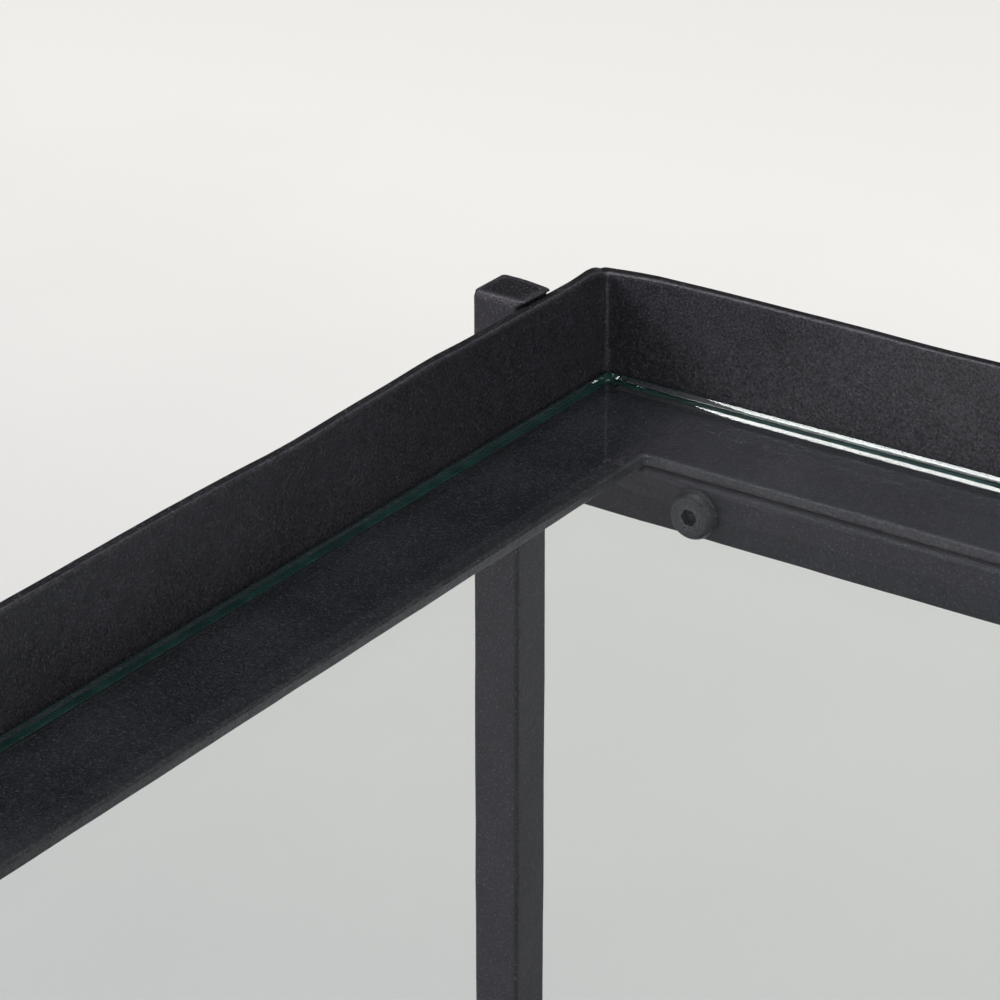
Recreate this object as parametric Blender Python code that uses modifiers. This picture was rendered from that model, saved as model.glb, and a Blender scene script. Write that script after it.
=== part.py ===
"""Wall mounted showcase: glass panes in angle-iron trays on slender square posts.

Four square posts and six rails of the same bar carry three trays.  Each tray
is a frame of four mitred steel angles: one leg stands up as a lip, the other
lies in as a ledge, and a pane of glass drops in and rests on the ledge.  The
back rails are screwed to bosses on four wall plates.

Units are metres and +Z is up.  The origin is on the floor plane of the posts,
in the middle of the width and of the depth; the wall is at +Y.
"""

from math import cos, pi, radians, sin

import bmesh
import bpy
from mathutils import Matrix, Vector

# Overall sizes
WIDTH = 0.800  # over the outer faces of the posts
DEPTH = 0.350  # from the wall to the front lips
HEIGHT = 0.640  # of the posts
TIERS = ("top", "middle", "bottom")
TIER_PITCH = 0.280

# Fits
GAP = 0.0003  # between pieces that touch
WALL_CLEARANCE = 0.001  # behind the trays' back lips
PANE_CLEARANCE = 0.001  # all round each pane

# Square bar of the posts and rails
BAR = 0.0127
BAR_EDGE = 0.0010
POST_PROUD = 0.0016  # post top above the top tray's lips
BAR_INSET = 0.02715  # bar's centre plane from the lip's inner face

# Angle section of the trays
ANGLE_HEIGHT = 0.0375
ANGLE_WIDTH = 0.035
ANGLE_WALL = 0.003
ANGLE_EDGE = 0.0006
ANGLE_FILLET = 0.0015
MITRE_CLEARANCE = 0.00022  # each mitred end stops this short of the corner's diagonal

# Glass
PANE_THICK = 0.008
PANE_ARRIS = 0.0005

# Rails under the trays
RAIL_DROP = 0.0010  # slit between ledge and rail, bridged by the welds

# Button-head socket screws
SCREW_FROM_LIP = 0.0472  # screw axis from the end lip's inner face
SCREW_THREAD = 0.0060
SCREW_LENGTH = 0.0250
HEAD_WIDTH = 0.0120
HEAD_HEIGHT = 0.0032
HEAD_RIM = 0.0010
HEAD_FLAT = 0.0056
SOCKET_FLATS = 0.0040
SOCKET_DEPTH = 0.0020

# Wall plates with a threaded boss
PLATE_WIDTH = 0.070
PLATE_HEIGHT = 0.028
PLATE_THICK = 0.004
PLATE_TOP = 0.0055  # above the screw axis
BOSS_WIDTH = 0.011
BOSS_HOLE_DEPTH = 0.016
WALL_HOLE = 0.0050
WALL_HOLE_HEAD = 0.0096
WALL_HOLE_SPREAD = 0.044
WALL_HOLE_DROP = 0.015  # below the screw axis

ROUND_STEPS = 24
LYING = (pi / 2, 0, 0)  # turns a piece's own +Z to -Y, away from the wall

# Worked out from the sizes above
TRAY_WIDTH = WIDTH - 2 * (BAR + GAP)
TRAY_DEPTH = DEPTH - WALL_CLEARANCE
TRAY_CENTRE_Y = -WALL_CLEARANCE / 2
WALL_Y = DEPTH / 2
POST_X = (WIDTH - BAR) / 2
BAR_Y = TRAY_DEPTH / 2 - ANGLE_WALL - BAR_INSET
RAIL_LENGTH = WIDTH - 2 * (BAR + GAP)
SCREW_X = TRAY_WIDTH / 2 - ANGLE_WALL - SCREW_FROM_LIP

for leftover in list(bpy.data.objects):
    bpy.data.objects.remove(leftover, do_unlink=True)


def new_collection(name):
    made = bpy.data.collections.new(name)
    bpy.context.scene.collection.children.link(made)
    return made


parts = new_collection("wall_mounted_showcase")
cutters = new_collection("cutters")


def material(name, colour, roughness, metallic=0.0, transmission=0.0):
    mat = bpy.data.materials.new(name)
    mat.use_nodes = True
    shader = mat.node_tree.nodes["Principled BSDF"]
    shader.inputs["Base Color"].default_value = (*colour, 1.0)
    shader.inputs["Roughness"].default_value = roughness
    shader.inputs["Metallic"].default_value = metallic
    shader.inputs["Transmission Weight"].default_value = transmission
    mat.diffuse_color = (*colour, 1.0)
    return mat


def black_iron(name):
    return material(name, (0.020, 0.020, 0.023), 0.50, metallic=0.3)


def link(name, mesh, mat, centre=(0, 0, 0), turn=(0, 0, 0)):
    """One named object, in the parts collection."""
    mesh.materials.append(mat)
    obj = bpy.data.objects.new(name, mesh)
    obj.location = centre
    obj.rotation_euler = turn
    parts.objects.link(obj)
    return obj


def box_mesh(name, size):
    mesh = bpy.data.meshes.new(name)
    bm = bmesh.new()
    bmesh.ops.create_cube(bm, size=1.0, matrix=Matrix.Diagonal((*size, 1.0)))
    bm.to_mesh(mesh)
    bm.free()
    return mesh


def bevel(obj, width, segments):
    mod = obj.modifiers.new("rounded edges", "BEVEL")
    mod.width = width
    mod.segments = segments
    mod.limit_method = "ANGLE"
    mod.angle_limit = radians(40)


def cut(obj, cutter, operation="DIFFERENCE"):
    mod = obj.modifiers.new(cutter.name, "BOOLEAN")
    mod.operation = operation
    mod.solver = "EXACT"
    mod.object = cutter


def round_cutter(name, length, wide, centre, narrow=None, steps=ROUND_STEPS):
    """A cylinder, or a cone narrow at its +Y end, that lies along Y with the cutters."""
    tail = wide if narrow is None else narrow
    mesh = bpy.data.meshes.new(name)
    bm = bmesh.new()
    bmesh.ops.create_cone(
        bm, cap_ends=True, segments=steps, radius1=tail / 2, radius2=wide / 2, depth=length
    )
    bm.to_mesh(mesh)
    bm.free()
    obj = bpy.data.objects.new(name, mesh)
    obj.location = centre
    obj.rotation_euler = LYING
    obj.hide_render = True
    obj.display_type = "WIRE"
    cutters.objects.link(obj)
    return obj


def rounded_outline(corners, steps=3):
    """Points of a polygon whose corners, given as (x, y, radius), are arcs."""
    points = []
    count = len(corners)
    for i, (x, y, radius) in enumerate(corners):
        here = Vector((x, y))
        back = (Vector(corners[i - 1][:2]) - here).normalized()
        ahead = (Vector(corners[(i + 1) % count][:2]) - here).normalized()
        centre = here + radius * (back + ahead)
        for k in range(steps + 1):
            t = k / steps * pi / 2
            points.append(centre - radius * (sin(t) * back + cos(t) * ahead))
    return points


def angle_mesh(name, length):
    """A mitred steel angle, its outer face at y = 0 and the top of its lip at z = 0."""
    shelf = ANGLE_WALL - ANGLE_HEIGHT
    corners = (
        (0.0, 0.0, ANGLE_EDGE),
        (0.0, -ANGLE_HEIGHT, ANGLE_EDGE),
        (ANGLE_WIDTH, -ANGLE_HEIGHT, ANGLE_EDGE),
        (ANGLE_WIDTH, shelf, ANGLE_EDGE),
        (ANGLE_WALL, shelf, ANGLE_FILLET),
        (ANGLE_WALL, 0.0, ANGLE_EDGE),
    )
    curve = bpy.data.curves.new(name + "_outline", "CURVE")
    curve.dimensions = "2D"
    curve.fill_mode = "BOTH"
    curve.extrude = length / 2
    points = rounded_outline(corners)
    spline = curve.splines.new("POLY")
    spline.points.add(len(points) - 1)
    for point, co in zip(spline.points, points):
        point.co = (co.x, co.y, 0.0, 1.0)
    spline.use_cyclic_u = True
    outline = bpy.data.objects.new(name + "_outline", curve)
    parts.objects.link(outline)
    evaluated = outline.evaluated_get(bpy.context.evaluated_depsgraph_get())
    mesh = bpy.data.meshes.new_from_object(evaluated)
    mesh.name = name
    bpy.data.objects.remove(outline, do_unlink=True)

    bm = bmesh.new()
    bm.from_mesh(mesh)
    bmesh.ops.remove_doubles(bm, verts=bm.verts, dist=1e-6)
    for vert in bm.verts:
        inward, up, along = vert.co
        reach = length / 2 - inward - MITRE_CLEARANCE
        vert.co = (reach if along > 0 else -reach, inward, up)
    if bm.calc_volume(signed=True) < 0:
        bmesh.ops.reverse_faces(bm, faces=bm.faces)
    bm.to_mesh(mesh)
    bm.free()
    return mesh


def build_posts():
    mesh = box_mesh("post", (BAR, BAR, HEIGHT))
    for side, sx in (("left", -1), ("right", 1)):
        for face, sy in (("back", 1), ("front", -1)):
            name = f"post_{face}_{side}"
            centre = (sx * POST_X, TRAY_CENTRE_Y + sy * BAR_Y, HEIGHT / 2)
            post = link(name, mesh.copy(), black_iron(name), centre)
            bevel(post, BAR_EDGE, 2)


def build_tray(tier, lip_top):
    """Four mitred angles and their pane, with the lips' top at lip_top."""
    long_mesh = angle_mesh("angle_long", TRAY_WIDTH)
    short_mesh = angle_mesh("angle_short", TRAY_DEPTH)
    sides = (
        ("front", long_mesh, TRAY_DEPTH / 2),
        ("right", short_mesh, TRAY_WIDTH / 2),
        ("back", long_mesh, TRAY_DEPTH / 2),
        ("left", short_mesh, TRAY_WIDTH / 2),
    )
    for quarter, (side, mesh, reach) in enumerate(sides):
        turn = quarter * pi / 2
        outward = Vector((sin(turn), -cos(turn), 0.0))
        name = f"{tier}_tray_{side}_angle"
        centre = Vector((0.0, TRAY_CENTRE_Y, lip_top)) + outward * reach
        link(name, mesh.copy(), black_iron(name), centre, (0, 0, turn))

    clear = 2 * (ANGLE_WALL + PANE_CLEARANCE)
    size = (TRAY_WIDTH - clear, TRAY_DEPTH - clear, PANE_THICK)
    bottom = lip_top - ANGLE_HEIGHT + ANGLE_WALL + GAP
    name = f"{tier}_glass_pane"
    glass = material(name, (0.80, 0.92, 0.88), 0.02, transmission=1.0)
    centre = (0.0, TRAY_CENTRE_Y, bottom + PANE_THICK / 2)
    bevel(link(name, box_mesh(name, size), glass, centre), PANE_ARRIS, 1)


def build_rails(tier, axis_z, screwed):
    """The two rails under a tray; a screwed back rail has a clearance hole near each end."""
    for face, sy in (("front", -1), ("back", 1)):
        name = f"{tier}_rail_{face}"
        mesh = box_mesh(name, (RAIL_LENGTH, BAR, BAR))
        rail = link(name, mesh, black_iron(name), (0.0, TRAY_CENTRE_Y + sy * BAR_Y, axis_z))
        bevel(rail, BAR_EDGE, 2)
        if screwed and face == "back":
            for side, sx in (("left", -1), ("right", 1)):
                centre = (sx * SCREW_X, TRAY_CENTRE_Y + BAR_Y, axis_z)
                hole = SCREW_THREAD + 2 * GAP
                cut(rail, round_cutter(f"{name}_hole_{side}", 2 * BAR, hole, centre))


def screw_profile():
    """Outline of a button-head screw as (radius, z), its head's seat at z = 0."""
    flat, rim = HEAD_FLAT / 2, HEAD_WIDTH / 2
    dome = [
        (flat + (rim - flat) * sin(t), HEAD_RIM + (HEAD_HEIGHT - HEAD_RIM) * cos(t))
        for t in (k / 5 * pi / 2 for k in range(6))
    ]
    thread = SCREW_THREAD / 2
    tip = 0.0008
    return [
        (0.0, HEAD_HEIGHT),
        *dome,
        (rim, 0.0),
        (thread, 0.0),
        (thread, tip - SCREW_LENGTH),
        (thread - tip, -SCREW_LENGTH),
        (0.0, -SCREW_LENGTH),
    ]


def build_screw(name, centre):
    """A socket screw whose head looks to -Y."""
    mesh = bpy.data.meshes.new(name)
    bm = bmesh.new()
    verts = [bm.verts.new((radius, 0.0, z)) for radius, z in screw_profile()]
    for upper, lower in zip(verts, verts[1:]):
        bm.edges.new((upper, lower))
    bm.to_mesh(mesh)
    bm.free()
    zinc = material(name, (0.035, 0.035, 0.038), 0.42, metallic=0.6)
    screw = link(name, mesh, zinc, centre, LYING)
    mod = screw.modifiers.new("turned", "SCREW")
    mod.axis = "Z"
    mod.angle = 2 * pi
    mod.steps = mod.render_steps = ROUND_STEPS
    mod.use_merge_vertices = True
    mod.merge_threshold = 1e-6
    corners = SOCKET_FLATS / cos(pi / 6)
    floor = Vector(centre) + Vector((0.0, SOCKET_DEPTH - HEAD_HEIGHT, 0.0))
    socket_centre = floor - Vector((0.0, SOCKET_DEPTH, 0.0))
    cut(screw, round_cutter(f"{name}_socket", 2 * SOCKET_DEPTH, corners, socket_centre, steps=6))


def build_wall_plate(name, x, axis_z):
    """A plate on the wall with a boss that reaches the back of the rail."""
    plate_y = WALL_Y - PLATE_THICK / 2
    plate_z = axis_z + PLATE_TOP - PLATE_HEIGHT / 2
    mesh = box_mesh(name, (PLATE_WIDTH, PLATE_THICK, PLATE_HEIGHT))
    plate = link(name, mesh, black_iron(name), (x, plate_y, plate_z))
    bevel(plate, 0.0006, 1)

    boss_front = TRAY_CENTRE_Y + BAR_Y + BAR / 2 + GAP
    boss_length = plate_y - boss_front
    boss_centre = (x, boss_front + boss_length / 2, axis_z)
    cut(plate, round_cutter(f"{name}_boss", boss_length, BOSS_WIDTH, boss_centre), "UNION")
    thread = SCREW_THREAD + 2 * GAP
    mouth = (x, boss_front, axis_z)
    cut(plate, round_cutter(f"{name}_tapping", 2 * BOSS_HOLE_DEPTH, thread, mouth))
    for side, sx in (("left", -1), ("right", 1)):
        face = (x + sx * WALL_HOLE_SPREAD / 2, WALL_Y - PLATE_THICK, axis_z - WALL_HOLE_DROP)
        cut(plate, round_cutter(f"{name}_wall_hole_{side}", 3 * PLATE_THICK, WALL_HOLE, face))
        # At 45 degrees, a cone as long as it is wide at its middle
        cone = (WALL_HOLE_HEAD, 2 * WALL_HOLE_HEAD, face, 0.0)
        cut(plate, round_cutter(f"{name}_countersink_{side}", *cone))


def build():
    build_posts()
    for level, tier in enumerate(TIERS):
        lip_top = HEIGHT - POST_PROUD - level * TIER_PITCH
        axis_z = lip_top - ANGLE_HEIGHT - RAIL_DROP - BAR / 2
        screwed = tier != "middle"
        build_tray(tier, lip_top)
        build_rails(tier, axis_z, screwed)
        if screwed:
            for side, sx in (("left", -1), ("right", 1)):
                seat = (sx * SCREW_X, TRAY_CENTRE_Y + BAR_Y - BAR / 2 - GAP, axis_z)
                build_screw(f"{tier}_screw_{side}", seat)
                build_wall_plate(f"{tier}_wall_plate_{side}", sx * SCREW_X, axis_z)


build()
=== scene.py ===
"""Looks for the wall mounted showcase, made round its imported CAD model.

Hand-finished blackened iron: trays of welded angle, square bar posts and rails
with their weld beads, button-head screws and wall plates.  The loose panes are
clear float glass with polished edges and ground arrises.
Units are metres, +Z is up and the wall is at +Y.
"""

from math import cos, exp, pi, radians, sin, tau

import bmesh
import bpy
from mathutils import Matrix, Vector, noise


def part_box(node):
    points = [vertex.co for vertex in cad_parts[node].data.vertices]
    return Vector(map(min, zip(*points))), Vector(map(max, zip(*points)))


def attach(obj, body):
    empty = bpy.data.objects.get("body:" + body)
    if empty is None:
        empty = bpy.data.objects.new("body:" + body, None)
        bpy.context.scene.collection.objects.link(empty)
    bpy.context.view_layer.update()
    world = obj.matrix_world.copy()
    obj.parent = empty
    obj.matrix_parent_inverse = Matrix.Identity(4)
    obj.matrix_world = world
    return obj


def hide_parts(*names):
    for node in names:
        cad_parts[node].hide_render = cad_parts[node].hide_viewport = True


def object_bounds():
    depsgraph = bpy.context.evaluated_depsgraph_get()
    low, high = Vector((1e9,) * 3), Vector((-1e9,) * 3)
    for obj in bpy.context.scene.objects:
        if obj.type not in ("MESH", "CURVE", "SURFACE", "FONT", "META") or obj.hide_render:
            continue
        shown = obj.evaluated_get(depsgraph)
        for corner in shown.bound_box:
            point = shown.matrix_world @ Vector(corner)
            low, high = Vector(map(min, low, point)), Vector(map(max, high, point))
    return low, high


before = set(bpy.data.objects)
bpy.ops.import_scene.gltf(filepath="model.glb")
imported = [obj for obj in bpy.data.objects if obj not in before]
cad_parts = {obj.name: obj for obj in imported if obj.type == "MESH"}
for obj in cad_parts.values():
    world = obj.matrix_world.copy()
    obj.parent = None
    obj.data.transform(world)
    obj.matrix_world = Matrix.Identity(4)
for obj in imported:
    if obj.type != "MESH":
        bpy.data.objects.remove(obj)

cad_low, cad_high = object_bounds()

TIERS = ("top", "middle", "bottom")
SIDES = ("front", "right", "back", "left")  # anticlockwise from above
BODY = "showcase"

# Tray angles, as the CAD has them
ANGLE_WALL = 0.003
ANGLE_EDGE = 0.0006
ANGLE_FILLET = 0.0015
CORNER_RADIUS = 0.0022  # of the welded and ground corners, seen from above
INNER_RADIUS = 0.0014

# How far a hammer and a file leave the iron from flat: (height, width of the swellings)
TRAY_DENTS = ((0.00009, 0.024), (0.00004, 0.007))
BAR_DENTS = ((0.00010, 0.021), (0.00003, 0.006))
LIP_BOW = (0.00026, 0.055)
LIP_WAVE = (0.00016, 0.034)
OUTER_RELIEF = 0.00013  # sets back a tray's outer and lower faces by their highest dents
LEDGE_RELIEF = 0.00011  # sets back the ledge under the glass

# Square bar
BAR_EDGE = 0.0009
BAR_END = 0.0005
RAIL_SEAT = 0.0006  # rise of a rail's top towards its tray
TOP_SPREAD = 0.0014  # of a post's hammered top, towards the tray
TOP_SPREAD_BACK = 0.0006
TOP_SPREAD_FRONT = 0.0008
TOP_SAG = 0.0003
TOP_FULL = 0.0004  # below a post's top, from where it has spread in full
END_RINGS = (0.7, 0.35, 0.08)  # on a bar's end, as shares of its width
END_WEAR = 0.8

# Welds
WELD_WIDTH = 0.0026
WELD_IN = 0.0004  # of a bead's middle, from the corner it fills
WELD_STEP = 0.0006
WELD_RIPPLE = 0.0018
WELD_SIDES = 10
TACKS = 5  # along each rail
TACK_LENGTH = 0.022
TACK_TILT = 0.4  # how far a tack's outward direction leans up
BEAD_TIP = 0.25  # a bead's width at its ends, as a share
BEAD_FLATNESS = 0.75  # its height as a share of its width
BEAD_RIPPLE = 0.10
BEAD_LUMPS = (0.12, 0.008)  # height as a share of its width, and their size
BEAD_WEAR = 0.25
BEAD_INDENT = 0.0010  # of an upright bead, from the rail's top and bottom

PLATE_EDGE = 0.0005

# Glass
PANE_ARRIS = 0.0014
ARRIS_STEPS = 4
PANE_CORNER = 0.0020
EDGE_BOW = 0.00005  # how far the polished edge stands out at its middle
EDGE_STRIPS = 10
POLISHED = 0.98  # a face whose normal is nearer than this to an axis is polished

# Screws
HEAD_WIDTH = 0.0120
HEAD_HEIGHT = 0.0032
HEAD_RIM = 0.0014
HEAD_FLAT = 0.0090
SOCKET_FLATS = 0.0037
SOCKET_DEPTH = 0.0020
SOCKET_LEAD = 0.0002
DOME_SWEEP = radians(74)
DOME_STEPS = 8
HEAD_SEGMENTS = 48
SCREW_THREAD = 0.0060
SOCKET_POINT = 0.0006  # depth of the drill's cone below the socket
RIM_ROUND = 0.00015
HEAD_BREAK = 0.0002  # chamfer under the head
NECK_FILLET = 0.0004
THREAD_LEAD = 0.0008

# Spacing of the mesh
ARC_STEPS = 4
ARC_GUARD = 0.0008  # from an arc to the next point, so that shading stays flat
FLAT_STEP = 0.0040
BAR_FLAT_STEP = 0.0035
TURN_STEPS = 6  # round a tray's corner
RING_STEP = 0.005
FIRST_STEP = 0.0010  # beside a corner
STEP_GROWTH = 1.35

# Camera, from the top tray's inner back left corner at the top of its lips
CAMERA_FROM_CORNER = Vector((0.48165, -0.74681, 0.35759))
CAMERA_PITCH = radians(25.287)
CAMERA_TURN = radians(34.481)
CAMERA_LENS = 142.94


# ---------------------------------------------------------------- mesh helpers

def smooth(value):
    """0 below 0, 1 above 1, and a smooth step between."""
    t = min(1.0, max(0.0, value))
    return t * t * (3 - 2 * t)


def swell(point, size):
    """Smooth noise from -1 to 1 whose bumps are about size wide."""
    return max(-1.0, min(1.0, 1.4 * noise.noise(point / size)))


def graded(length):
    """Stations from 0 to length, close together beside both ends."""
    near = [0.0]
    step = FIRST_STEP
    while step < RING_STEP and near[-1] + step < length / 2:
        near.append(near[-1] + step)
        step *= STEP_GROWTH
    middle = length - 2 * near[-1]
    count = max(1, round(middle / RING_STEP))
    inner = [near[-1] + middle * k / count for k in range(1, count)]
    return near + inner + [length - d for d in reversed(near)]


def outline(corners, arc_steps, flat_step, guard):
    """A closed outline as (point, outward normal, wear), with arcs at its corners.

    Corners are (x, y, radius).  In anticlockwise order normals point out of the
    solid and wear is 1 on its outside corners.  In clockwise order normals point
    into it and wear is 0 there.  Each flat gets a point at the distance guard
    beside its arcs and about one every flat_step.
    """
    count = len(corners)
    arcs = []
    for i, (x, y, radius) in enumerate(corners):
        here = Vector((x, y))
        back = (Vector(corners[i - 1][:2]) - here).normalized()
        ahead = (Vector(corners[(i + 1) % count][:2]) - here).normalized()
        centre = here + radius * (back + ahead)
        convex = back.x * ahead.y - back.y * ahead.x < 0
        arc = []
        for k in range(arc_steps + 1):
            t = k / arc_steps * pi / 2
            away = -(sin(t) * back + cos(t) * ahead)
            normal = away if convex else -away
            arc.append((centre + radius * away, normal, 1.0 if convex else 0.0))
        arcs.append(arc)
    points = []
    for i, arc in enumerate(arcs):
        points += arc
        start, normal, _ = arc[-1]
        end = arcs[(i + 1) % count][0][0]
        run = end - start
        if run.length < 3 * guard:
            continue
        inner = run.length - 2 * guard
        steps = max(1, round(inner / flat_step))
        for k in range(steps + 1):
            reach = guard + inner * k / steps
            points.append((start + run * (reach / run.length), normal, 0.0))
    return points


def mesh_from(name, rings, wear_and_painted_light, closed, smooth_faces=True):
    """A mesh of quads between rings of points.  A closed one joins its last ring to its first."""
    mesh = bpy.data.meshes.new(name)
    bm = bmesh.new()
    layer = bm.verts.layers.float.new("wear_and_painted_light")
    rows = []
    for ring, shares in zip(rings, wear_and_painted_light):
        row = [bm.verts.new(p) for p in ring]
        for vert, share in zip(row, shares):
            vert[layer] = share
        rows.append(row)
    count = len(rows[0])
    pairs = list(zip(rows, rows[1:]))
    if closed:
        pairs.append((rows[-1], rows[0]))
    for one, two in pairs:
        for k in range(count):
            after = (k + 1) % count
            bm.faces.new((one[k], one[after], two[after], two[k]))
    if not closed:
        bm.faces.new(list(reversed(rows[0])))
        bm.faces.new(rows[-1])
    bm.normal_update()
    if bm.calc_volume(signed=True) < 0:
        bmesh.ops.reverse_faces(bm, faces=bm.faces)
    for face in bm.faces:
        face.smooth = smooth_faces
    bm.to_mesh(mesh)
    bm.free()
    return mesh


def piece(name, mesh, mat, body, slot, *nodes):
    """Puts a mesh in the scene as a piece that rides on a body and stands for CAD nodes."""
    obj = bpy.data.objects.new(name, mesh)
    bpy.context.scene.collection.objects.link(obj)
    if mat:
        obj.data.materials.append(mat)
    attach(obj, body)
    if nodes:
        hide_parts(*nodes)
    return obj


def weighted_normals(obj):
    mod = obj.modifiers.new("weighted normals", "WEIGHTED_NORMAL")
    mod.mode = "FACE_AREA"
    mod.weight = 80
    mod.keep_sharp = True


def keep_inside(point):
    """The point, moved inside the CAD model's box if it is outside."""
    return Vector(min(max(v, lo), hi) for v, lo, hi in zip(point, cad_low, cad_high))


# ------------------------------------------------------------------- materials

NOISE_ROUGH = 0.55

# The iron's noises as (scale, detail, roughness), and its bumps as (strength, distance)
CLOUD = (38.0, 4.0, NOISE_ROUGH)
PATCH = (260.0, 3.0, NOISE_ROUGH)
GRAIN = (1700.0, 2.0, 0.7)
SPECK = (1500.0, 1.0, NOISE_ROUGH)
GRAIN_BUMP = (0.6, 0.0003)
PATCH_BUMP = (0.45, 0.0004)
BLACK = (0.002, 0.002, 0.002, 1.0)
# Colour of bright flecks that stand in for glints off the grain, a painted sparkle
PAINTED_SPARKLE = (0.110, 0.104, 0.116, 1.0)
IRON_SPECULAR = 0.40
IRON_TINT = (0.90, 0.87, 1.0, 1.0)
WORN_POLISH = 0.16  # how much smoother worn iron is

GLASS_IOR = 1.52
GLASS_PASSED = (0.875, 0.897, 0.893, 1.0)  # light let straight through
GLASS_DEPTH = (("Color", (0.30, 0.70, 0.50, 1.0)), ("Density", 7.0))
GLASS_HAZE = (14.0, 2.0)
ARRIS_STREAK = (160.0, 3.0)
# Painted light: the arris colours stand in for light that runs inside the pane
ARRIS_DARK = (0.008, 0.033, 0.031, 1.0)
ARRIS_LIGHT = (0.017, 0.056, 0.052, 1.0)


def nodes_of(mat):
    mat.use_nodes = True
    tree = mat.node_tree
    return tree, tree.nodes["Principled BSDF"]


def add(tree, kind, inputs=(), **settings):
    """A node with its settings, and inputs given as (name, value or socket)."""
    node = tree.nodes.new(kind)
    for key, value in settings.items():
        setattr(node, key, value)
    for key, value in inputs:
        if isinstance(value, bpy.types.NodeSocket):
            tree.links.new(value, node.inputs[key])
        else:
            node.inputs[key].default_value = value
    return node


def noise_at(tree, place, scale, detail, rough=NOISE_ROUGH):
    inputs = (("Vector", place), ("Scale", scale), ("Detail", detail), ("Roughness", rough))
    return add(tree, "ShaderNodeTexNoise", inputs).outputs["Fac"]


def spread(tree, value, low, high, out_low=0.0, out_high=1.0):
    """value from low to high, as out_low to out_high."""
    inputs = (
        ("Value", value),
        ("From Min", low),
        ("From Max", high),
        ("To Min", out_low),
        ("To Max", out_high),
    )
    node = add(tree, "ShaderNodeMapRange", inputs, interpolation_type="SMOOTHSTEP")
    return node.outputs["Result"]


def maths(tree, operation, one, two):
    return add(tree, "ShaderNodeMath", ((0, one), (1, two)), operation=operation).outputs[0]


def weighted(tree, one, one_share, two, two_share):
    one = maths(tree, "MULTIPLY", one, one_share)
    return maths(tree, "ADD", one, maths(tree, "MULTIPLY", two, two_share))


def blend_colours(tree, share, one, two):
    node = add(tree, "ShaderNodeMix", data_type="RGBA")
    for key, value in ((0, share), (6, one), (7, two)):
        if isinstance(value, bpy.types.NodeSocket):
            tree.links.new(value, node.inputs[key])
        else:
            node.inputs[key].default_value = value
    return node.outputs[2]


def bump(tree, height, strength, distance, *under):
    inputs = [("Height", height), ("Strength", strength), ("Distance", distance)]
    inputs += [("Normal", normal) for normal in under]
    return add(tree, "ShaderNodeBump", inputs).outputs[0]


def black_iron(name, dark, light, edge, rough_low, rough_high):
    """Blackened and waxed iron: mottled, finely grained and lighter where it is worn, with painted
    light, painted shade and painted sparkle.

    The attribute it reads is 0 on plain iron, up to 1 on worn edges and as painted light on the
    lips' faces, and below 0 as painted shade on tops.
    """
    mat = bpy.data.materials.new(name)
    tree, shader = nodes_of(mat)
    place = add(tree, "ShaderNodeTexCoord").outputs["Object"]
    cloud = noise_at(tree, place, *CLOUD)
    patch = noise_at(tree, place, *PATCH)
    grain = noise_at(tree, place, *GRAIN)
    speck = noise_at(tree, place, *SPECK)

    tone = weighted(tree, cloud, 0.65, patch, 0.35)
    mottle = spread(tree, tone, 0.30, 0.70)
    base = blend_colours(tree, mottle, dark, light)
    wear_and_painted_light = add(tree, "ShaderNodeAttribute", attribute_name="wear_and_painted_light").outputs["Fac"]
    # Painted shade: near black where the attribute is below 0, on the tops of lips and the ends of
    # bars.
    base = blend_colours(tree, spread(tree, wear_and_painted_light, -1.0, 0.0, 1.0, 0.0), base, BLACK)
    # Lighter towards the edge colour on worn edges, and as painted light on the lips' faces above
    # the glass.
    lightened = maths(tree, "MAXIMUM", wear_and_painted_light, 0.0)
    worn_and_painted_light = maths(tree, "MULTIPLY", lightened, spread(tree, patch, 0.38, 0.62, 0.68, 0.86))
    base = blend_colours(tree, worn_and_painted_light, base, edge)
    base = blend_colours(tree, spread(tree, grain, 0.36, 0.62, 0.6, 0.0), base, BLACK)
    # Painted sparkle: bright flecks stand in for glints off the grain.
    base = blend_colours(tree, spread(tree, speck, 0.56, 0.76, 0.0, 0.5), base, PAINTED_SPARKLE)
    tree.links.new(base, shader.inputs["Base Color"])

    rough = weighted(tree, cloud, 0.5, grain, 0.5)
    rough = spread(tree, rough, 0.35, 0.65, rough_low, rough_high)
    rough = maths(tree, "SUBTRACT", rough, maths(tree, "MULTIPLY", worn_and_painted_light, WORN_POLISH))
    tree.links.new(rough, shader.inputs["Roughness"])

    fine = bump(tree, grain, *GRAIN_BUMP)
    tree.links.new(bump(tree, patch, *PATCH_BUMP, fine), shader.inputs["Normal"])
    shader.inputs["Specular IOR Level"].default_value = IRON_SPECULAR
    shader.inputs["Specular Tint"].default_value = IRON_TINT
    return mat


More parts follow.
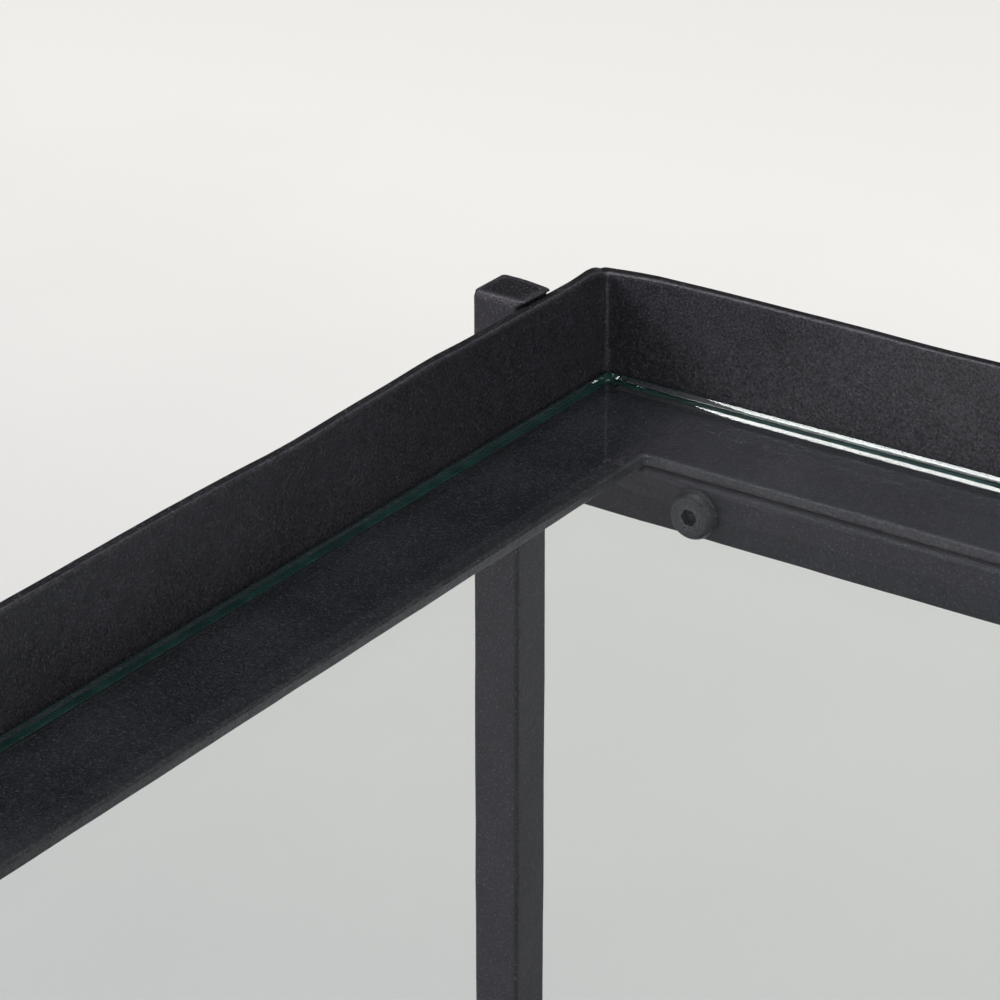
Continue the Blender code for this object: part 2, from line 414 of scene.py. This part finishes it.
def clear_glass(name):
    """Float glass, faintly green through its depth.

    Shadow, diffuse and blurred glossy rays pass straight through it.
    """
    mat = bpy.data.materials.new(name)
    tree, shader = nodes_of(mat)
    place = add(tree, "ShaderNodeTexCoord").outputs["Object"]
    haze = spread(tree, noise_at(tree, place, *GLASS_HAZE), 0.3, 0.7)
    tint = blend_colours(tree, haze, (0.994, 0.994, 0.994, 1.0), (1.0, 0.998, 1.0, 1.0))
    tree.links.new(tint, shader.inputs["Base Color"])
    shader.inputs["Roughness"].default_value = 0.0
    shader.inputs["IOR"].default_value = GLASS_IOR
    shader.inputs["Transmission Weight"].default_value = 1.0
    ray = add(tree, "ShaderNodeLightPath").outputs
    lamps = maths(tree, "MAXIMUM", ray["Is Shadow Ray"], ray["Is Diffuse Ray"])
    blurred = maths(tree, "SUBTRACT", ray["Is Glossy Ray"], ray["Is Singular Ray"])
    lamps = maths(tree, "MAXIMUM", lamps, blurred)
    clear = add(tree, "ShaderNodeBsdfTransparent", (("Color", GLASS_PASSED),))
    out = tree.nodes["Material Output"]
    sides = ((0, lamps), (1, shader.outputs[0]), (2, clear.outputs[0]))
    mix = add(tree, "ShaderNodeMixShader", sides)
    tree.links.new(mix.outputs[0], out.inputs["Surface"])
    absorb = add(tree, "ShaderNodeVolumeAbsorption", GLASS_DEPTH)
    tree.links.new(absorb.outputs[0], out.inputs["Volume"])
    return mat


def ground_glass(name):
    """The satin ground arris of a pane, painted deep green as painted light for the light that runs
    inside the glass.
    """
    mat = bpy.data.materials.new(name)
    tree, shader = nodes_of(mat)
    place = add(tree, "ShaderNodeTexCoord").outputs["Object"]
    streak = spread(tree, noise_at(tree, place, *ARRIS_STREAK), 0.35, 0.65)
    green = blend_colours(tree, streak, ARRIS_DARK, ARRIS_LIGHT)
    tree.links.new(green, shader.inputs["Base Color"])
    shader.inputs["Roughness"].default_value = 0.22
    shader.inputs["IOR"].default_value = GLASS_IOR
    return mat


IRON = black_iron(
    "blackened_iron",
    (0.0140, 0.0128, 0.0175, 1.0),
    (0.0285, 0.0265, 0.0340, 1.0),
    (0.0680, 0.0650, 0.0720, 1.0),
    0.42,
    0.56,
)
SCREW_STEEL = black_iron(
    "blackened_screw_steel",
    (0.0140, 0.0140, 0.0150, 1.0),
    (0.0260, 0.0260, 0.0270, 1.0),
    (0.1000, 0.0970, 0.1000, 1.0),
    0.30,
    0.42,
)
GLASS = clear_glass("clear_float_glass")
GROUND_GLASS = ground_glass("ground_glass_arris")


# ----------------------------------------------------------------------- trays

# Raised and dropped places along the lips' tops, as a hand finisher leaves them:
# tier, side, distance from that side's back left end, half width, rise
LIP_WAVES = (
    ("top", "left", 0.0055, 0.0045, 0.00060),
    ("top", "left", 0.0705, 0.011, 0.00045),
    ("top", "left", 0.1235, 0.017, -0.00050),
    ("top", "back", 0.0400, 0.018, 0.00022),
    ("top", "back", 0.0880, 0.014, -0.00015),
)
WAVE_START = 0.003  # length over which a wave fades towards a corner
RISE_ABOVE = 0.002  # depth below a lip's top that rises in full
RISE_FADE = 0.012  # depth below that over which the rise fades
# How far the ground corner at the end of each side drops
CORNER_DIP = {"front": 0.0007, "right": 0.0009, "back": 0.0011, "left": 0.0007}
DIP_LENGTH = 0.016  # along the side that ends at the corner
DIP_POWER = 1.4
DIP_TURN = 0.0025  # along the side that starts there

# Painted light on the lips' inner faces above the glass, most on the back lip, and painted shade on
# their tops
LIP_SHOWN = 0.0290  # depth of lip above the glass that gets the painted light
LIP_PAINTED_LIGHT = 0.35
LIP_SIDE_PAINTED_LIGHT = {"front": 0.20, "right": 0.05, "back": 0.48, "left": 0.05}
PAINTED_LIGHT_FADE = 0.060  # over which the painted light grows from a corner
PAINTED_LIGHT_MEAN = 0.9
PAINTED_LIGHT_PATCH = (0.2, 0.030)  # its change from place to place, and how wide the places are
# Painted shade on the lips' tops and the bars' ends
TOP_PAINTED_SHADE = -0.65


def tray_outline(height, width):
    """The angle's section as (inset from the outer face, height below the lip's top)."""
    shelf = ANGLE_WALL - height
    corners = (
        (0.0, 0.0, ANGLE_EDGE),
        (0.0, -height, ANGLE_EDGE),
        (width, -height, ANGLE_EDGE),
        (width, shelf, ANGLE_EDGE),
        (ANGLE_WALL, shelf, ANGLE_FILLET),
        (ANGLE_WALL, 0.0, ANGLE_EDGE),
    )
    return outline(corners, ARC_STEPS, FLAT_STEP, ARC_GUARD)


def loop_stations(half_x, half_y):
    """Rings round a rectangle as (side number, distance share -1 to 1, turn round its corner)."""
    stations = []
    for quarter in range(4):
        half = half_x if quarter % 2 == 0 else half_y
        stations += [(quarter, d / half - 1, 0.0) for d in graded(2 * half)]
        stations += [(quarter, 1.0, t / TURN_STEPS * pi / 2) for t in range(1, TURN_STEPS)]
    return stations


def on_loop(station, half_x, half_y, inset, radius):
    """A point of a rounded rectangle, its outward direction, and how far both corners are."""
    quarter, share, turn = station
    angle = quarter * pi / 2
    outward = Vector((sin(angle), -cos(angle), 0.0))
    along = Vector((cos(angle), sin(angle), 0.0))
    reach, length = (half_y, half_x) if quarter % 2 == 0 else (half_x, half_y)
    out_centre = reach - inset - radius
    run = length - inset - radius
    direction = outward * cos(turn) + along * sin(turn)
    point = outward * out_centre + along * run * share + radius * direction
    return point, direction, (share + 1) * run, (1 - share) * run


def lip_rise(tier, side, before, point, from_start, to_end):
    """How far a lip's top is above its nominal height."""
    rise = LIP_WAVE[0] * swell(point, LIP_WAVE[1])
    for wave_tier, wave_side, place, half, height in LIP_WAVES:
        if (tier, side) == (wave_tier, wave_side):
            distance = from_start if side == "left" else to_end
            wave = exp(-(((distance - place) / half) ** 2))
            rise += height * wave * smooth(distance / WAVE_START)
    rise -= CORNER_DIP[side] * max(0.0, 1 - to_end / DIP_LENGTH) ** DIP_POWER
    rise -= CORNER_DIP[before] * exp(-from_start / DIP_TURN)
    return rise


def tray_frame(tier):
    nodes = [f"{tier}_tray_{side}_angle" for side in SIDES]
    boxes = {side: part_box(node) for side, node in zip(SIDES, nodes)}
    low = Vector((boxes["left"][0].x, boxes["front"][0].y, boxes["left"][0].z))
    high = Vector((boxes["right"][1].x, boxes["back"][1].y, boxes["left"][1].z))
    centre = Vector(((low.x + high.x) / 2, (low.y + high.y) / 2, high.z))
    half_x, half_y = (high.x - low.x) / 2, (high.y - low.y) / 2
    height = high.z - low.z
    width = boxes["front"][1].y - boxes["front"][0].y
    section = tray_outline(height, width)
    rings, wear_and_painted_light = [], []
    for station in loop_stations(half_x, half_y):
        side = SIDES[station[0]]
        before = SIDES[station[0] - 1]
        ring, shares = [], []
        for (inset, level), normal, edge in section:
            flat, direction, from_start, to_end = on_loop(
                station, half_x, half_y, inset, max(INNER_RADIUS, CORNER_RADIUS - inset)
            )
            point = centre + flat + Vector((0, 0, level))
            on_lip = inset < 2 * ANGLE_WALL
            lip = smooth(1 + level / (height - ANGLE_WALL)) if on_lip else 0.0
            top = smooth(1 + (level + RISE_ABOVE) / RISE_FADE) if on_lip else 0.0
            facing = -direction * normal.x + Vector((0, 0, normal.y))
            dent = sum(depth * swell(point, size) for depth, size in TRAY_DENTS)
            if inset < ANGLE_EDGE or level < ANGLE_WALL / 2 - height:
                dent -= OUTER_RELIEF
            if inset > ANGLE_WALL and normal.y > 0.5:
                dent -= LEDGE_RELIEF
            bow = LIP_BOW[0] * (swell(Vector((point.x, point.y, high.z)), LIP_BOW[1]) - 1) * lip
            rise = lip_rise(tier, side, before, point, from_start, to_end) * top
            point = point + facing * dent + direction * bow + Vector((0, 0, rise))
            ring.append(keep_inside(point))
            # Painted light lightens the lips' faces above the glass, most on the back lip and less
            # towards the corners; painted shade darkens their tops; other points keep their edge
            # share, 1 on worn outside corners.
            lightened = LIP_SIDE_PAINTED_LIGHT[side] * smooth(min(from_start, to_end) / PAINTED_LIGHT_FADE)
            if normal.y > 0.95 and level > -ANGLE_EDGE:
                shares.append(TOP_PAINTED_SHADE)
            elif edge == 0 and inset < ANGLE_WALL + 0.0001 and level > -LIP_SHOWN:
                patchy = PAINTED_LIGHT_MEAN + PAINTED_LIGHT_PATCH[0] * swell(point, PAINTED_LIGHT_PATCH[1])
                shares.append((LIP_PAINTED_LIGHT + lightened) * patchy)
            else:
                shares.append(edge)
        rings.append(ring)
        wear_and_painted_light.append(shares)
    name = f"{tier}_tray_frame"
    obj = piece(name, mesh_from(name, rings, wear_and_painted_light, True), IRON, BODY, "black_iron", *nodes)
    weighted_normals(obj)


# ------------------------------------------------------------------------ bars

def bar(node, axis, shaped):
    """A square bar with eased edges and ends, in place of a CAD post or rail.

    shaped(point, x share, y share) is the point where the smith left it.  The
    section runs clockwise, so its dents swell outwards and its long edges have no wear.
    """
    low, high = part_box(node)
    centre = (low + high) / 2
    across = Vector((0, 1, 0)) if axis.x else Vector((1, 0, 0))
    up = axis.cross(across)
    length = abs((high - low).dot(axis))
    half = abs((high - low).dot(across)) / 2
    start = centre - axis * length / 2
    square = ((-half, half), (half, half), (half, -half), (-half, -half))
    corners = [(x, y, BAR_EDGE) for x, y in square]
    section = outline(corners, ARC_STEPS, BAR_FLAT_STEP, ARC_GUARD)
    body = [BAR_END + d for d in graded(length - 2 * BAR_END)]
    arc = [k * pi / 8 for k in range(4)]
    eased = [(BAR_END * (1 - cos(t)), BAR_END * (1 - sin(t))) for t in arc]
    stations = eased + [(d, 0.0) for d in body] + [(length - d, i) for d, i in reversed(eased)]
    rings, wear_and_painted_light = [], []
    for distance, inset in stations:
        ring, shares = [], []
        ended = inset > 0
        for (x, y), normal, edge in section:
            scale = (half - inset) / half
            point = start + axis * distance + across * x * scale + up * y * scale
            facing = across * normal.x + up * normal.y
            dent = sum(depth * (swell(point, size) - 1) for depth, size in BAR_DENTS)
            point += facing * dent
            ring.append(keep_inside(shaped(point, x / half, y / half)))
            shares.append(max(edge, END_WEAR if ended else 0.0))
        rings.append(ring)
        wear_and_painted_light.append(shares)
    for end, distance in ((0, 0.0), (-1, length)):
        flat = [shrunk_ring(rings[end], share) for share in END_RINGS]
        # Painted shade darkens the flat ends, as on the lips' tops.
        quiet = [[TOP_PAINTED_SHADE] * len(section) for _ in flat]
        if end == 0:
            rings = list(reversed(flat)) + rings
            wear_and_painted_light = quiet + wear_and_painted_light
        else:
            rings = rings + flat
            wear_and_painted_light = wear_and_painted_light + quiet
    mesh = mesh_from(node, rings, wear_and_painted_light, False)
    weighted_normals(piece(f"{node}_bar", mesh, IRON, BODY, "black_iron", node))


def seated(point, across, up):
    """A rail's top brought up to its tray, where it is welded."""
    return point + Vector((0, 0, RAIL_SEAT if up > 0.5 else 0.0))


def forged_top(lip_top, inward):
    """Spreads a post's cut end over its tray's lip, as hammering did."""

    def shaped(point, across, up):
        share = smooth((point.z - lip_top) / (cad_high.z - lip_top - TOP_FULL))
        x, y = across * inward, -up
        shift = Vector((max(0.0, x) * TOP_SPREAD * inward, 0.0, 0.0))
        shift.y = TOP_SPREAD_BACK * max(0.0, y) - TOP_SPREAD_FRONT * max(0.0, x) * max(0.0, -y)
        shift.z = -TOP_SAG * max(0.0, x) * max(0.0, -y)
        return point + shift * share

    return shaped


def shrunk_ring(ring, share):
    middle = sum(ring, Vector()) / len(ring)
    return [middle + (p - middle) * share for p in ring]


# ---------------------------------------------------------------------- screws

def hexagon(angle, flats):
    """Distance from a hexagon's centre to its outline."""
    return flats / 2 / cos(angle % (pi / 3) - pi / 6)


def screw(node):
    """A button-head screw whose head looks to -Y.

    Its rows, from the socket to the tip, are (shape, radius or flats, depth, wear).
    """
    low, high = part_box(node)
    axis_x, axis_z = (low.x + high.x) / 2, (low.z + high.z) / 2
    crown = low.y
    flat, rim = HEAD_FLAT / 2, HEAD_WIDTH / 2
    rows = [("round", 0.0003, SOCKET_DEPTH + SOCKET_POINT, 0.0)]
    rows += [("hex", SOCKET_FLATS * share, SOCKET_DEPTH, 0.0) for share in (0.6, 1.0)]
    rows += [("hex", SOCKET_FLATS, SOCKET_LEAD, 0.2), ("hex", SOCKET_FLATS + SOCKET_LEAD, 0.0, 1.0)]
    rows += [("round", flat * 0.93, 0.0, 0.3), ("round", flat, 0.00003, 0.8)]
    for k in range(1, DOME_STEPS + 1):
        t = k / DOME_STEPS * DOME_SWEEP
        share = sin(t) / sin(DOME_SWEEP)
        drop = (1 - cos(t)) / (1 - cos(DOME_SWEEP))
        rows.append(("round", flat + (rim - flat) * share, (HEAD_HEIGHT - HEAD_RIM) * drop, 0.2))
    rows += [
        ("round", rim, HEAD_HEIGHT - HEAD_RIM + RIM_ROUND, 1.0),
        ("round", rim, HEAD_HEIGHT - HEAD_BREAK, 0.6),
        ("round", rim - HEAD_BREAK, HEAD_HEIGHT, 0.3),
        ("round", SCREW_THREAD / 2 + NECK_FILLET, HEAD_HEIGHT, 0.0),
        ("round", SCREW_THREAD / 2, HEAD_HEIGHT + NECK_FILLET, 0.0),
        ("round", SCREW_THREAD / 2, high.y - crown - THREAD_LEAD, 0.0),
        ("round", SCREW_THREAD / 2 - THREAD_LEAD, high.y - crown, 0.0),
    ]
    rings, wear_and_painted_light = [], []
    for kind, size, depth, share in rows:
        ring = []
        for k in range(HEAD_SEGMENTS):
            angle = k / HEAD_SEGMENTS * tau
            radius = size if kind == "round" else hexagon(angle, size)
            x, z = axis_x + radius * cos(angle), axis_z + radius * sin(angle)
            ring.append(Vector((x, crown + depth, z)))
        rings.append(ring)
        wear_and_painted_light.append([share] * HEAD_SEGMENTS)
    mesh = mesh_from(node, rings, wear_and_painted_light, False)
    mesh.set_sharp_from_angle(angle=radians(38))
    obj = piece(f"{node}_button_head", mesh, SCREW_STEEL, BODY, "blackened_screw", node)
    weighted_normals(obj)


# ----------------------------------------------------------------------- glass

def pane(tier):
    """A pane with barely bowed polished edges, ground arrises and dubbed corners."""
    node = f"{tier}_glass_pane"
    low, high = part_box(node)
    centre = (low + high) / 2
    half = (high - low) / 2
    arc = [k / ARRIS_STEPS * pi / 2 for k in range(ARRIS_STEPS + 1)]
    side = [(PANE_ARRIS * (1 - sin(t)), half.z - PANE_ARRIS * (1 - cos(t))) for t in arc]
    flat = half.z - PANE_ARRIS
    levels = [1 - 2 * k / EDGE_STRIPS for k in range(1, EDGE_STRIPS)]
    side = [(inset + EDGE_BOW * (1 - inset / PANE_ARRIS), level) for inset, level in side]
    edge = [(EDGE_BOW * level**2, level * flat) for level in levels]
    section = side + edge + [(inset, -level) for inset, level in reversed(side)]
    rings = []
    for inset, level in section:
        ring = []
        for quarter in range(4):
            turns = [(1.0, t / TURN_STEPS * pi / 2) for t in range(1, TURN_STEPS)]
            for share, turn in [(-1.0, 0.0), (1.0, 0.0)] + turns:
                station = (quarter, share, turn)
                radius = PANE_CORNER - inset
                place, _, _, _ = on_loop(station, half.x, half.y, inset, radius)
                ring.append(centre + place + Vector((0, 0, level)))
        rings.append(ring)
    wear_and_painted_light = [[0.0] * len(rings[0]) for _ in rings]
    mesh = mesh_from(f"{tier}_pane", rings, wear_and_painted_light, False, smooth_faces=False)
    mesh.materials.append(GLASS)
    mesh.materials.append(GROUND_GLASS)
    for face in mesh.polygons:
        ground = max(abs(v) for v in face.normal) < POLISHED
        face.material_index = 1 if ground else 0
    piece(f"{tier}_pane", mesh, None, f"{tier}_pane", "clear_glass", node)


# ----------------------------------------------------------------- wall plates

def wall_plate(node):
    """The CAD plate as it is, with its edges eased and the frame's finish."""
    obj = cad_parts[node]
    obj.data.materials.clear()
    obj.data.materials.append(IRON)
    mod = obj.modifiers.new("eased edges", "BEVEL")
    mod.width = PLATE_EDGE
    mod.segments = 3
    mod.limit_method = "ANGLE"
    mod.angle_limit = radians(50)
    mod.harden_normals = True


# ----------------------------------------------------------------------- welds

def weld_bead(name, runs, width):
    """Rippled beads along straight runs given as (start, end, outward direction)."""
    mesh = bpy.data.meshes.new(name)
    bm = bmesh.new()
    layer = bm.verts.layers.float.new("wear_and_painted_light")
    for start, end, outward in runs:
        along = (end - start).normalized()
        side = along.cross(outward).normalized()
        length = (end - start).length
        count = max(6, round(length / WELD_STEP))
        rows = []
        for k in range(count + 1):
            share = k / count
            taper = min(1.0, share * length / width, (1 - share) * length / width)
            middle = start + along * share * length
            ripple = BEAD_RIPPLE * sin(tau * share * length / WELD_RIPPLE)
            lump = BEAD_LUMPS[0] * swell(middle, BEAD_LUMPS[1])
            full = BEAD_TIP + (1 - BEAD_TIP) * sin(taper * pi / 2)
            radius = width / 2 * full * (1 + ripple + lump)
            row = []
            for j in range(WELD_SIDES):
                t = j / WELD_SIDES * tau
                offset = side * cos(t) * radius + outward * sin(t) * radius * BEAD_FLATNESS
                vert = bm.verts.new(keep_inside(middle + offset))
                vert[layer] = BEAD_WEAR
                row.append(vert)
            rows.append(row)
        for one, two in zip(rows, rows[1:]):
            for j in range(WELD_SIDES):
                after = (j + 1) % WELD_SIDES
                bm.faces.new((one[j], one[after], two[after], two[j]))
        bm.faces.new(list(reversed(rows[0])))
        bm.faces.new(rows[-1])
    bmesh.ops.recalc_face_normals(bm, faces=bm.faces)
    for face in bm.faces:
        face.smooth = True
    bm.to_mesh(mesh)
    bm.free()
    piece(name, mesh, IRON, BODY, "black_iron")


def welds(tier):
    """Upright beads at the rails' ends, and tacks along the rails' outer top edges."""
    for face in ("front", "back"):
        low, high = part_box(f"{tier}_rail_{face}")
        into = 1 if face == "front" else -1  # towards the middle of the tray, along Y
        outer, inner = (low.y, high.y) if into > 0 else (high.y, low.y)
        ends = []
        for x, away in ((low.x, 1), (high.x, -1)):
            for y, facing in ((inner, into), (outer, -into)):
                place = Vector((x + away * WELD_IN, y + facing * WELD_IN, 0))
                outward = Vector((away, facing, 0)).normalized()
                bottom = Vector((place.x, place.y, low.z + BEAD_INDENT))
                top = Vector((place.x, place.y, high.z - BEAD_INDENT))
                ends.append((bottom, top, outward))
        weld_bead(f"{tier}_{face}_rail_end_welds", ends, WELD_WIDTH)
        tacks = []
        for k in range(TACKS):
            x = low.x + (high.x - low.x) * (k + 0.5) / TACKS
            outward = Vector((0, -into, TACK_TILT)).normalized()
            start = Vector((x - TACK_LENGTH / 2, outer - into * WELD_IN, high.z + WELD_IN))
            tacks.append((start, start + Vector((TACK_LENGTH, 0, 0)), outward))
        weld_bead(f"{tier}_{face}_rail_tacks", tacks, WELD_WIDTH)


# ----------------------------------------------------------------------- build

def build():
    for tier in TIERS:
        tray_frame(tier)
        pane(tier)
        for face in ("front", "back"):
            bar(f"{tier}_rail_{face}", Vector((1, 0, 0)), seated)
        welds(tier)
    lip_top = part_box("top_tray_left_angle")[1].z
    for face in ("front", "back"):
        for side in ("left", "right"):
            shaped = forged_top(lip_top, 1 if side == "left" else -1)
            bar(f"post_{face}_{side}", Vector((0, 0, 1)), shaped)
    for tier in ("top", "bottom"):
        for side in ("left", "right"):
            screw(f"{tier}_screw_{side}")
            wall_plate(f"{tier}_wall_plate_{side}")


# ---------------------------------------------------------------------- studio

# The floor's colour holds painted shade: darker near the object and paler further off.
FLOOR_NEAR = 0.2  # distance from the object's middle where the floor starts to pale
FLOOR_FAR = 1.9
FLOOR_PAINTED_SHADE_COLOUR = (0.535, 0.535, 0.548, 1.0)
FLOOR_FAR_COLOUR = (0.955, 0.944, 0.917, 1.0)
FLOOR_STRETCH = (0.35, 1.0, 0.0)  # of the distance, so that the floor pales slower along X
FLOOR_HALF_SIZE = 40.0
FLOOR_GAP = 0.0005  # below the posts' feet
FLOOR_MOTTLE = 0.04

# Lamps, by name: direction seen from the corner in the photo, distance, width, height,
# radiance of the face, tint
LAMPS = {
    "front_left_softbox": ((-0.56, -0.70, 0.50), 2.4, 1.7, 0.85, 8.5, (1.0, 0.985, 0.98)),
    "right_fill": ((0.78, -0.66, 0.25), 3.0, 2.4, 1.6, 4.2, (0.97, 0.98, 1.0)),
}
SUN_STRENGTH = 2.2
SUN_ANGLE = radians(36)
SUN_TINT = (1.0, 0.995, 0.985)
ROOM_COLOUR = (0.92, 0.96, 1.0, 1.0)
ROOM_STRENGTH = 0.06
BACKDROP = (("Color", (0.80, 0.80, 0.79, 1.0)), ("Strength", 1.0))  # seen by the camera only


def floor():
    mesh = bpy.data.meshes.new("studio_floor")
    bm = bmesh.new()
    bmesh.ops.create_grid(bm, x_segments=8, y_segments=8, size=FLOOR_HALF_SIZE)
    bm.to_mesh(mesh)
    bm.free()
    obj = bpy.data.objects.new("studio_floor", mesh)
    obj.location.z = cad_low.z - FLOOR_GAP
    bpy.context.scene.collection.objects.link(obj)
    mat = bpy.data.materials.new("pale_floor")
    tree, shader = nodes_of(mat)
    place = add(tree, "ShaderNodeTexCoord").outputs["Object"]
    # Painted shade: darker near the object, paling with distance.
    squeezed = add(tree, "ShaderNodeMapping", (("Vector", place), ("Scale", FLOOR_STRETCH)))
    away = add(tree, "ShaderNodeVectorMath", ((0, squeezed.outputs[0]),), operation="LENGTH")
    away = spread(tree, away.outputs["Value"], FLOOR_NEAR, FLOOR_FAR)
    cloud = spread(tree, noise_at(tree, place, 4.0, 2.0), 0.3, 0.7, 0.0, FLOOR_MOTTLE)
    away = maths(tree, "ADD", away, cloud)
    pale = blend_colours(tree, away, FLOOR_PAINTED_SHADE_COLOUR, FLOOR_FAR_COLOUR)
    tree.links.new(pale, shader.inputs["Base Color"])
    shader.inputs["Roughness"].default_value = 0.9
    shader.inputs["Specular IOR Level"].default_value = 0.1
    obj.data.materials.append(mat)


def soft_box(name, aim, towards, distance, width, height, radiance, tint):
    """An area light seen from aim in the direction towards, with the radiance of its face."""
    data = bpy.data.lights.new(name, "AREA")
    data.shape = "RECTANGLE"
    data.size = width
    data.size_y = height
    data.energy = radiance * pi * width * height
    data.color = tint
    obj = bpy.data.objects.new(name, data)
    direction = Vector(towards).normalized()
    obj.location = aim + direction * distance
    obj.rotation_euler = direction.to_track_quat("Z", "Y").to_euler()
    obj.visible_camera = False
    bpy.context.scene.collection.objects.link(obj)


def lights():
    corner = Vector((cad_low.x, cad_high.y, cad_high.z))
    for name, lamp in LAMPS.items():
        soft_box(name, corner, *lamp)
    sun = bpy.data.lights.new("overhead", "SUN")
    sun.energy = SUN_STRENGTH
    sun.angle = SUN_ANGLE
    sun.color = SUN_TINT
    over = bpy.data.objects.new("overhead", sun)
    bpy.context.scene.collection.objects.link(over)

    world = bpy.data.worlds.new("studio")
    bpy.context.scene.world = world
    world.use_nodes = True
    tree = world.node_tree
    room = tree.nodes["Background"]
    room.inputs["Color"].default_value = ROOM_COLOUR
    room.inputs["Strength"].default_value = ROOM_STRENGTH
    seen = add(tree, "ShaderNodeBackground", BACKDROP)
    camera_ray = add(tree, "ShaderNodeLightPath").outputs["Is Camera Ray"]
    sides = ((0, camera_ray), (1, room.outputs[0]), (2, seen.outputs[0]))
    mix = add(tree, "ShaderNodeMixShader", sides)
    tree.links.new(mix.outputs[0], tree.nodes["World Output"].inputs["Surface"])


def camera():
    data = bpy.data.cameras.new("camera")
    data.lens = CAMERA_LENS
    data.sensor_width = 36.0
    data.clip_start = 0.05
    data.clip_end = 200.0
    obj = bpy.data.objects.new("camera", data)
    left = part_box("top_tray_left_angle")[0].x + ANGLE_WALL
    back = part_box("top_tray_back_angle")[1]
    corner = Vector((left, back.y - ANGLE_WALL, back.z))
    obj.location = corner + CAMERA_FROM_CORNER
    obj.rotation_euler = (pi / 2 - CAMERA_PITCH, 0.0, CAMERA_TURN)
    bpy.context.scene.collection.objects.link(obj)
    bpy.context.scene.camera = obj


camera()
build()
floor()
lights()
bpy.context.scene.view_settings.view_transform = "Standard"
